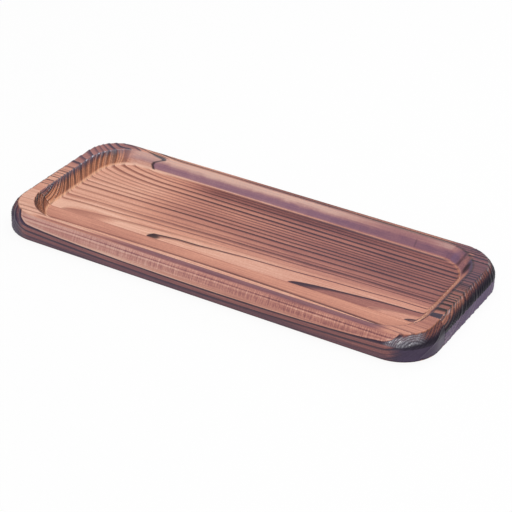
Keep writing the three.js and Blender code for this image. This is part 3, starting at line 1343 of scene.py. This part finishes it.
@dataclass(frozen=True)
class FrontCedar(CharredCedar):
    """The narrow board's finish: an even light brown, dark below the black line that ends a ring."""

    black_line: float = 73.7
    floor_line: float = 57.4
    corner_tone: Sequence[Shade] = (
        Shade(0.1),
        Shade(0.18, x=(-60, 60)),
        Shade(0.14, x=(-60, 60), y=(-55, -45)),
    )
    above_tone: Sequence[Shade] = (Shade(0.14), Shade(0.18, x=(-110, 100)))
    # Painted sheen: violet-grey on the shoulder and the side that stands in for the lacquer's reflection.
    shoulder_painted_sheen: Sequence[Shade] = (Shade(0.24), Shade(-0.14, x=(-100, 120)))
    side_painted_sheen: Sequence[Shade] = (Shade(0.12), Shade(-0.05, x=(-60, 60)))

    def outer(self) -> Value:
        """1 beyond the black line, and 0 inside it."""
        return self.at.ease(self.black_line - 0.15, self.black_line + 0.05, self.at.wood.radius)

    def corner(self) -> Value:
        """1 on the patch of thick lacquer on the right corner's shoulder, where a highlight is also painted.

        Returns:
            The patch, with soft edges.
        """
        at = self.at
        across = at.band(at.x, 152, 174, 3) * at.ease(-52, -60, at.y)
        climb = at.ease(158, 172, at.x) * 3
        return across * at.band(at.height - climb, 10.5, 17.5, 0.8) * at.shoulder

    def scorch(self) -> Value:
        """How far the flame has browned the pale wood.

        Returns:
            The tone, from 0 for pale wood to 1 for black.
        """
        at = self.at
        x = at.x
        radius = at.wood.radius
        beyond = at.ease(self.floor_line - 0.05, self.floor_line + 0.1, radius)
        seam = at.band(at.y, -36, -35, 0.2) * 0.08
        floor = 0.23 + at.ease(-37, -46, at.y) * 0.06 - beyond * 0.17 + seam
        floor = (at.floor + at.wall) * (floor + at.wall * at.ends * 0.25)
        left_rim = 0.14 + at.band(at.top_down, -0.95, -0.5, 0.08) * 0.3
        long_rim = blend(left_rim, 0.58, at.ease(-110, -40, x))
        rim = blend(long_rim, at.tone(self.corner_tone), at.ease(136, 152, abs(x)))
        facet = at.section - Part.SIDE.value
        broad = at.band(facet, 0.1, 0.48, 0.06)
        brown_line = at.band(facet, 0.68, 0.76, 0.03)
        # Painted highlights: pale lines along the shoulder's facet break and just above the black line.
        painted_highlight_line = at.band(facet, 0.54, 0.62, 0.04)
        painted_highlight_line = painted_highlight_line + at.band(radius, self.black_line, self.black_line + 0.4, 0.15)
        lines = broad * 0.06 + brown_line * 0.28 - painted_highlight_line * 0.14
        above = at.tone(self.above_tone) + at.ends * 0.2 + lines * at.sides
        # Below the black line the side is painted dark: partly its char, partly painted shade.
        below = 0.58 + at.ease(5, 3, at.height) * 0.16 + at.ends * 0.5 + self.corner() * 0.25
        below = below - at.ends * at.shoulder * at.ease(13, 17, at.height) * 0.5
        outside = at.outside * blend(below, above, self.outer())
        return floor + at.rim * rim + outside + at.underside * self.underside_tone + at.arris * at.ends * 0.3

    def cool(self) -> Value:
        """How far violet-grey covers the wood: a painted sheen on the shoulder and the side, and violet-grey
        on the rim.

        Returns:
            The share of the stain.
        """
        at = self.at
        # Painted sheen: violet-grey on the shoulder and the side, where the lacquer would reflect the
        # surround.
        shoulder = at.shoulder * at.tone(self.shoulder_painted_sheen)
        rim = at.rim * at.ease(-110, -40, at.x) * at.ease(152, 136, at.x) * 0.22
        low = at.ease(5, 3, at.height) * 0.04
        return shoulder + rim + at.side * (at.tone(self.side_painted_sheen) + low + at.ends * 0.22)

    def marks(self) -> Value:
        """The black marks: the black line's core, the right end's scorched band and the lower edge.

        Returns:
            The share of black.
        """
        at = self.at
        band = self.right_end() * at.ease(16, 12, at.height) * (1 - self.outer())
        core = self.paint.larger(at.wood.late * at.wood.dark - 0.5, 0) * at.outside
        lower_edge = at.side * at.ease(1.6, 0.3, at.height)
        return band * 0.7 + core + lower_edge * 0.5

    def calm(self) -> Value:
        """How far the rings' lines are sanded away: on the rim, beyond the black line and on the corner."""
        kept = (1 - self.at.rim * 0.7) * (1 - self.outer() * 0.9)
        return 1 - kept * (1 - self.corner() * 0.85)

    def bold(self) -> Value:
        """How far even the pale rings show as dark lines."""
        return self.at.ends * 0.5

    def gloss(self) -> Value:
        """How thick the lacquer lies: thick on the right corner's shoulder."""
        return self.coat * self.at.sides + (self.at.rim + self.at.arris) * 0.3 + self.corner()

    def painted_highlight(self) -> Value:
        """A painted highlight: pale grey streaks on the right corner's shoulder, where a lamp's reflection
        lies.
        """
        # Painted highlight: pale grey streaks where a lamp's reflection lies on the corner's shoulder.
        strokes = self.paint.sine((self.at.x - self.at.y) * 6.4 + self.at.height * 2.2)
        return self.corner() * (1 - self.outer()) * (0.3 + strokes * 0.2)


@dataclass(frozen=True)
class Rubber:
    """Matt black rubber with a fine moulded texture and a dusty tread."""

    name: str = "foot_rubber"
    dusty: Stops = ((0, (30, 29, 30)), (0.6, (46, 44, 45)), (1, (84, 80, 76)))
    roughness: float = 0.62
    specular: float = 0.35
    pit_depth: float = 0.06 * MM
    pit_strength: float = 0.6

    def material(self) -> bpy.types.Material:
        """Builds the finish.

        Returns:
            The finished material.
        """
        paint = Paint(self.name)
        place, _, _, z = paint.place_mm()
        pits = paint.noise(place, (0.35, 0.35, 0.35), 2)
        dust_and_highlight = paint.noise(place, (3, 3, 3), 3, (2, 5, 1))
        tread = paint.ease(0.6, 0, z)
        return paint.finish(
            {
                "Base Color": paint.ramp(dust_and_highlight * 0.6 + tread * 0.3, self.dusty),
                "Roughness": self.roughness + dust_and_highlight * 0.25,
                "Specular IOR Level": self.specular,
                "Normal": paint.bump(pits, self.pit_depth, self.pit_strength),
            }
        )


@dataclass(frozen=True)
class Steel:
    """Plain stainless steel with fine turning marks and a little tarnish."""

    name: str = "screw_steel"
    bright: Stops = ((0.3, (196, 194, 188)), (0.55, (174, 171, 165)), (0.75, (132, 126, 118)))
    roughness: float = 0.24
    mark_depth: float = 0.02 * MM
    mark_strength: float = 0.4

    def material(self) -> bpy.types.Material:
        """Builds the finish.

        Returns:
            The finished material.
        """
        paint = Paint(self.name)
        place, _, _, _ = paint.place_mm()
        marks = paint.noise(place, (2.5, 0.12, 0.12), 2)
        tarnish = paint.noise(place, (1.6, 1.6, 1.6), 3, (3, 3, 8))
        return paint.finish(
            {
                "Base Color": paint.ramp(tarnish, self.bright),
                "Metallic": 1 - paint.ease(0.62, 0.8, tarnish) * 0.3,
                "Roughness": self.roughness + marks * 0.2 + tarnish * 0.1,
                "Normal": paint.bump(marks, self.mark_depth, self.mark_strength),
            }
        )


@dataclass
class TrayBoards:
    """The tray's body: a wide back board and a narrow front board, glued along a straight seam."""

    back_node: str = "back_board"
    front_node: str = "front_board"
    feet: Sequence[str] = ()
    glue_line: float = 0.05 * MM
    seat_room: float = 0.3 * MM
    cut_reach: float = 1e-7
    chip_depth: float = 1.3 * MM
    chip_waves: Sequence[Triple] = ((1.25, 0, 0.7), (0.55, 0, 0.3), (3.1, 1, 0.4))
    front_coat_roughness: float = 0.18
    brushing: Brushing = Brushing()

    def __post_init__(self) -> None:
        """Takes the boards' overall sizes from the frame."""
        back_low, back_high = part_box(self.back_node)
        front_low, front_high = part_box(self.front_node)
        self.length = back_high.x - back_low.x
        self.width = back_high.y - front_low.y
        self.base = back_low.z
        self.top = back_high.z
        self.seam = (back_low.y + front_high.y) / 2
        self.back_grain = BackGrain()
        self.front_grain = FrontGrain()

    def seats(self) -> list[Seat]:
        """Finds the round seat of each foot.

        Returns:
            The seats: centre along and across, radius, and the height each is sunk to.
        """
        found = []
        for node in self.feet:
            low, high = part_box(node)
            radius = (high.x - low.x) / 2 + self.seat_room
            found.append(((low.x + high.x) / 2, (low.y + high.y) / 2, radius, high.z))
        return found

    def build(self) -> list[bpy.types.Object]:
        """Models both boards and dresses them.

        Returns:
            The two finished pieces.
        """
        blank = TrayBlank(self.length, self.width, self.base, self.top, self.seats()).build()
        self._brush(blank)
        back_finish = BackCedar("back_cedar", self.back_grain, self.base)
        front_finish = FrontCedar(
            "front_cedar", self.front_grain, self.base, coat_roughness=self.front_coat_roughness
        )
        back = self._board(blank, "back_cedar_board", self.back_node, 1, back_finish)
        front = self._board(blank, "front_cedar_board", self.front_node, -1, front_finish)
        blank.free()
        return [back, front]

    def _brush(self, blank: bmesh.types.BMesh) -> None:
        """Wears the early wood down, leaves the late wood standing and chips the right end's lower edge.

        Args:
            blank: the tray's skin, which is changed.
        """
        section_layer = blank.verts.layers.float[SECTION_LAYER]
        ends_layer = blank.verts.layers.float[END_GRAIN_LAYER]
        places = np.array([vert.co for vert in blank.verts])
        sections = np.array([vert[section_layer] for vert in blank.verts])
        ends = np.array([vert[ends_layer] for vert in blank.verts])
        x = places[:, 0] / MM
        y = places[:, 1] / MM
        height = (places[:, 2] - self.base) / MM
        sums = ArrayMaths()
        at_back = places[:, 1] > self.seam
        back = self.back_grain.wood(sums, x, y, height)
        front = self.front_grain.wood(sums, x, y, height)
        wood = Wood(*(np.where(at_back, *pair) for pair in zip(astuple(back), astuple(front))))
        relief = self.brushing.relief(wood, sections, ends, np.abs(x))
        normals = [vert.normal.copy() for vert in blank.verts]
        chips = sum(np.sin(y / length + shift) * size for length, shift, size in self.chip_waves)
        chipped = sums.ease(1.25, 0.9, sections) * sums.ease(0.35, 0.8, ends) * (x > 0)
        lift = self.chip_depth * np.clip(chips, 0, None) * chipped
        smooth_layer = blank.verts.layers.float_vector.new(SMOOTH_LAYER)
        for vert in blank.verts:
            vert[smooth_layer] = vert.co
        for vert, normal, rise, raised in zip(blank.verts, normals, relief, lift):
            vert.co += normal * float(rise)
            vert.co.z += float(raised)
        blank.normal_update()

    def _board(
        self,
        blank: bmesh.types.BMesh,
        name: str,
        node: str,
        way: float,
        finish: CharredCedar,
    ) -> bpy.types.Object:
        """Cuts one board out of the blank along the seam.

        Args:
            blank: the tray's skin.
            name: the piece's name.
            node: the CAD node it stands for.
            way: 1 for the board behind the seam and -1 for the one in front.
            finish: its finish.

        Returns:
            The finished piece.
        """
        board = blank.copy()
        seam = Vector((0, self.seam + way * self.glue_line / 2, 0))
        cut = bmesh.ops.bisect_plane(
            board,
            geom=[*board.verts, *board.edges, *board.faces],
            dist=self.cut_reach,
            plane_co=seam,
            plane_no=(0, -way, 0),
            clear_outer=True,
        )["geom_cut"]
        edges = [item for item in cut if isinstance(item, bmesh.types.BMEdge)]
        faces = bmesh.ops.holes_fill(board, edges=edges, sides=0)["faces"]
        for face in faces:
            face.normal_update()
            if face.normal.y * way > 0:
                face.normal_flip()
            face.smooth = False
        for edge in edges:
            edge.smooth = False
        mesh = bpy.data.meshes.new(name)
        board.to_mesh(mesh)
        board.free()
        piece = bpy.data.objects.new(name, mesh)
        bpy.context.scene.collection.objects.link(piece)
        mesh.materials.append(finish.material())
        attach(piece, BODY)
        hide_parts(node)
        return piece


@dataclass
class Feet:
    """The four rubber feet and their screws, which keep their CAD meshes."""

    corners: Sequence[str] = ("front_left", "front_right", "back_right", "back_left")

    def foot_names(self) -> list[str]:
        """The feet's CAD nodes."""
        return [f"foot_{corner}" for corner in self.corners]

    def dress(self) -> list[bpy.types.Object]:
        """Gives the feet and the screws their finishes.

        Returns:
            The CAD objects that were dressed.
        """
        rubber = Rubber().material()
        steel = Steel().material()
        dressed = []
        for corner in self.corners:
            for node, material in ((f"foot_{corner}", rubber), (f"foot_screw_{corner}", steel)):
                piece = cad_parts[node]
                for place in range(len(piece.material_slots)):
                    piece.material_slots[place].material = material
                dressed.append(piece)
        return dressed


@dataclass(frozen=True)
class Softbox:
    """One soft lamp: where it hangs, what it points at, its size and its power."""

    name: str
    place: Triple
    aim: Triple
    size: Span
    power: float

    def hang(self) -> None:
        """Adds the lamp to the scene."""
        lamp = bpy.data.lights.new(self.name, "AREA")
        lamp.shape = "RECTANGLE"
        lamp.size = self.size[0]
        lamp.size_y = self.size[1]
        lamp.energy = self.power
        holder = bpy.data.objects.new(self.name, lamp)
        holder.location = self.place
        holder.rotation_euler = (Vector(self.aim) - Vector(self.place)).to_track_quat("-Z", "Y").to_euler()
        bpy.context.scene.collection.objects.link(holder)


@dataclass
class Studio:
    """The pale floor, the soft lamps, the white surround and the camera."""

    distance: float = 1.3142
    azimuth: float = math.radians(29.08)
    elevation: float = math.radians(30.43)
    roll: float = math.radians(2.05)
    target: Triple = (0.0078, -0.00054, 0.0015)
    lens: float = 122.58
    sensor: float = 36
    floor_size: float = 6
    surround: float = 0.35
    floor_glow: float = 0.92
    floor_colour: tuple[float, float, float, float] = (0.95, 0.95, 0.95, 1)
    lamps: Sequence[Softbox] = (
        Softbox("overhead_softbox", (0.1, 0.1, 1.2), (0, 0, 0), (1.4, 1), 9),
        Softbox("left_front_strip", (0.2, -1.52, 0.75), (0, 0, 0), (0.14, 0.34), 1.9),
        Softbox("front_strip", (0.78, -1.31, 0.77), (0, 0, 0), (0.14, 0.34), 1.9),
        Softbox("right_front_strip", (1.2, -0.94, 0.73), (0, 0, 0), (0.14, 0.34), 1.9),
        Softbox("back_softbox", (0.3, 1.35, 0.85), (0, 0, 0), (0.3, 0.3), 3.5),
    )

    def build(self) -> None:
        """Sets the stage round the object."""
        bpy.context.scene.view_settings.view_transform = "Standard"
        self._camera()
        self._floor()
        self._world()
        for lamp in self.lamps:
            lamp.hang()

    def _camera(self) -> None:
        """Puts the camera where the photograph was taken from."""
        flat = math.cos(self.elevation)
        right = Vector((math.cos(self.azimuth), math.sin(self.azimuth), 0))
        back = Vector((right.y * flat, -right.x * flat, math.sin(self.elevation)))
        up = back.cross(right)
        turned_right = right * math.cos(self.roll) + up * math.sin(self.roll)
        turned_up = up * math.cos(self.roll) - right * math.sin(self.roll)
        eye = Vector(self.target) + back * self.distance
        axes = Matrix((turned_right, turned_up, back)).transposed().to_4x4()
        lens = bpy.data.cameras.new("photo_camera")
        lens.lens = self.lens
        lens.sensor_width = self.sensor
        camera = bpy.data.objects.new("photo_camera", lens)
        camera.matrix_world = Matrix.Translation(eye) @ axes
        bpy.context.scene.collection.objects.link(camera)
        bpy.context.scene.camera = camera

    def _seen(self, paint: Paint) -> Value:
        """Tells the rays that show a surface from the rays that light it.

        Args:
            paint: the paint that needs to know.

        Returns:
            1 for camera, glossy and transmission rays, and 0 for others.
        """
        rays = paint.node("ShaderNodeLightPath").outputs
        seen = Value(paint, rays["Is Camera Ray"]) + Value(paint, rays["Is Glossy Ray"])
        return paint.smaller(seen + Value(paint, rays["Is Transmission Ray"]), 1)

    def _floor(self) -> None:
        """Lays the pale floor under the object."""
        shape = bmesh.new()
        bmesh.ops.create_grid(shape, x_segments=8, y_segments=8, size=self.floor_size / 2)
        mesh = bpy.data.meshes.new("studio_floor")
        shape.to_mesh(mesh)
        shape.free()
        floor = bpy.data.objects.new("studio_floor", mesh)
        bpy.context.scene.collection.objects.link(floor)
        paint = Paint("studio_floor")
        matt = paint.node("ShaderNodeBsdfDiffuse", None, {"Color": self.floor_colour})
        glow = paint.node("ShaderNodeEmission", None, {"Color": WHITE, "Strength": 1})
        share = self._seen(paint) * self.floor_glow
        sockets = {0: share, 1: matt.outputs[0], 2: glow.outputs[0]}
        surface = paint.node("ShaderNodeMixShader", None, sockets)
        paint.node("ShaderNodeOutputMaterial", None, {"Surface": surface.outputs[0]})
        mesh.materials.append(paint.material)

    def _world(self) -> None:
        """Surrounds the object with an even soft light."""
        world = bpy.data.worlds.new("white_surround")
        world.use_nodes = True
        bpy.context.scene.world = world
        sky = world.node_tree.nodes["Background"]
        sky.inputs["Color"].default_value = WHITE
        sky.inputs["Strength"].default_value = self.surround


def main() -> None:
    """Builds the tray in its studio and reports each piece."""
    logging.basicConfig(level=logging.INFO, format="%(name)s: %(message)s")
    Studio().build()
    feet = Feet()
    for piece in TrayBoards(feet=feet.foot_names()).build():
        triangles = sum(len(face.vertices) - 2 for face in piece.data.polygons)
        LOG.info("%s: %d triangles", piece.name, triangles)
    for piece in feet.dress():
        LOG.info("%s: CAD mesh with a new finish", piece.name)


if __name__ == "__main__":
    main()
